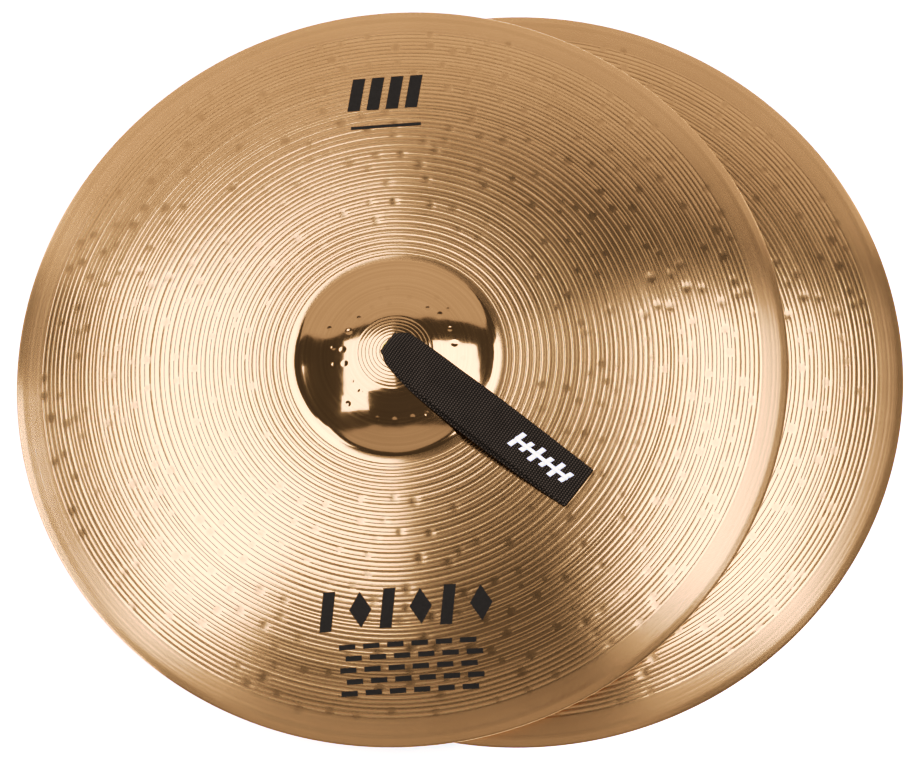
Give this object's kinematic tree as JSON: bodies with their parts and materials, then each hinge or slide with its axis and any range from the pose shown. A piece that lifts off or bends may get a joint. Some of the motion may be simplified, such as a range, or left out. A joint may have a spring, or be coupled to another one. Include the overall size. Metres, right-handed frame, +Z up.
{
  "type": "hand cymbals",
  "caption": "Pair of hammered and lathed bronze hand cymbals lying stacked bell up, each with a folding, swivelling webbing hand strap through its crown.",
  "frame": {"origin": "on the table under the centre of the stacked pair's bounding box", "axes": "+Z up, +X towards the side where the lower cymbal shows, the upper one shifted and leaning towards -X, +Y away from the viewer"},
  "size_m": [0.5259, 0.4572, 0.0552],
  "materials": {
    "cymbal_bronze": "lathed and hammered bronze, polished bell, brilliant edge",
    "grommet_brass": "polished",
    "felt": "pressed wool felt",
    "disc_leather": "smooth, matt",
    "pin_steel": "brushed",
    "webbing": "ribbed black nylon webbing",
    "strap_print": "white raised print"
  },
  "bodies": {
    "lower_plate": {"lower_cymbal": "cymbal_bronze", "lower_grommet": "grommet_brass", "lower_grommet_ring": "grommet_brass", "lower_felt_washer": "felt"},
    "lower_strap_hub": {"lower_retainer_disc": "disc_leather", "lower_anchor_pin": "pin_steel", "lower_strap_tails": "webbing"},
    "lower_strap": {"lower_strap_loop": "webbing", "lower_strap_mark": "strap_print"},
    "upper_plate": {"upper_cymbal": "cymbal_bronze", "upper_grommet": "grommet_brass", "upper_grommet_ring": "grommet_brass", "upper_felt_washer": "felt"},
    "upper_strap_hub": {"upper_retainer_disc": "disc_leather", "upper_anchor_pin": "pin_steel", "upper_strap_tails": "webbing"},
    "upper_strap": {"upper_strap_loop": "webbing", "upper_strap_mark": "strap_print"}
  },
  "joints": [
    {"name": "upper_cymbal_lift", "type": "slide", "parent": "lower_plate", "child": "upper_plate", "axis": [0, 0, 1], "range_m": [0, 0.25]},
    {"name": "upper_strap_swivel", "type": "hinge", "parent": "upper_plate", "child": "upper_strap_hub", "pos_m": [-0.0371, 0, 0.05078], "axis": [-0.0637, 0, 0.998], "continuous": true},
    {"name": "upper_strap_fold", "type": "hinge", "parent": "upper_strap_hub", "child": "upper_strap", "pos_m": [-0.0399, 0.00225, 0.05253], "axis": [-0.6415, -0.766, -0.0409], "range_deg": [0, 95]},
    {"name": "lower_strap_swivel", "type": "hinge", "parent": "lower_plate", "child": "lower_strap_hub", "pos_m": [0.03434, 0, 0.036], "axis": [0, 0, 1], "continuous": true},
    {"name": "lower_strap_fold", "type": "hinge", "parent": "lower_strap_hub", "child": "lower_strap", "pos_m": [0.03166, 0.00225, 0.03793], "axis": [-0.6428, -0.766, 0], "range_deg": [0, 80.5]}
  ],
  "couplings": [
    {"joint": "lower_strap_fold", "follows": "upper_cymbal_lift", "rad_per_m": 5.585}
  ]
}
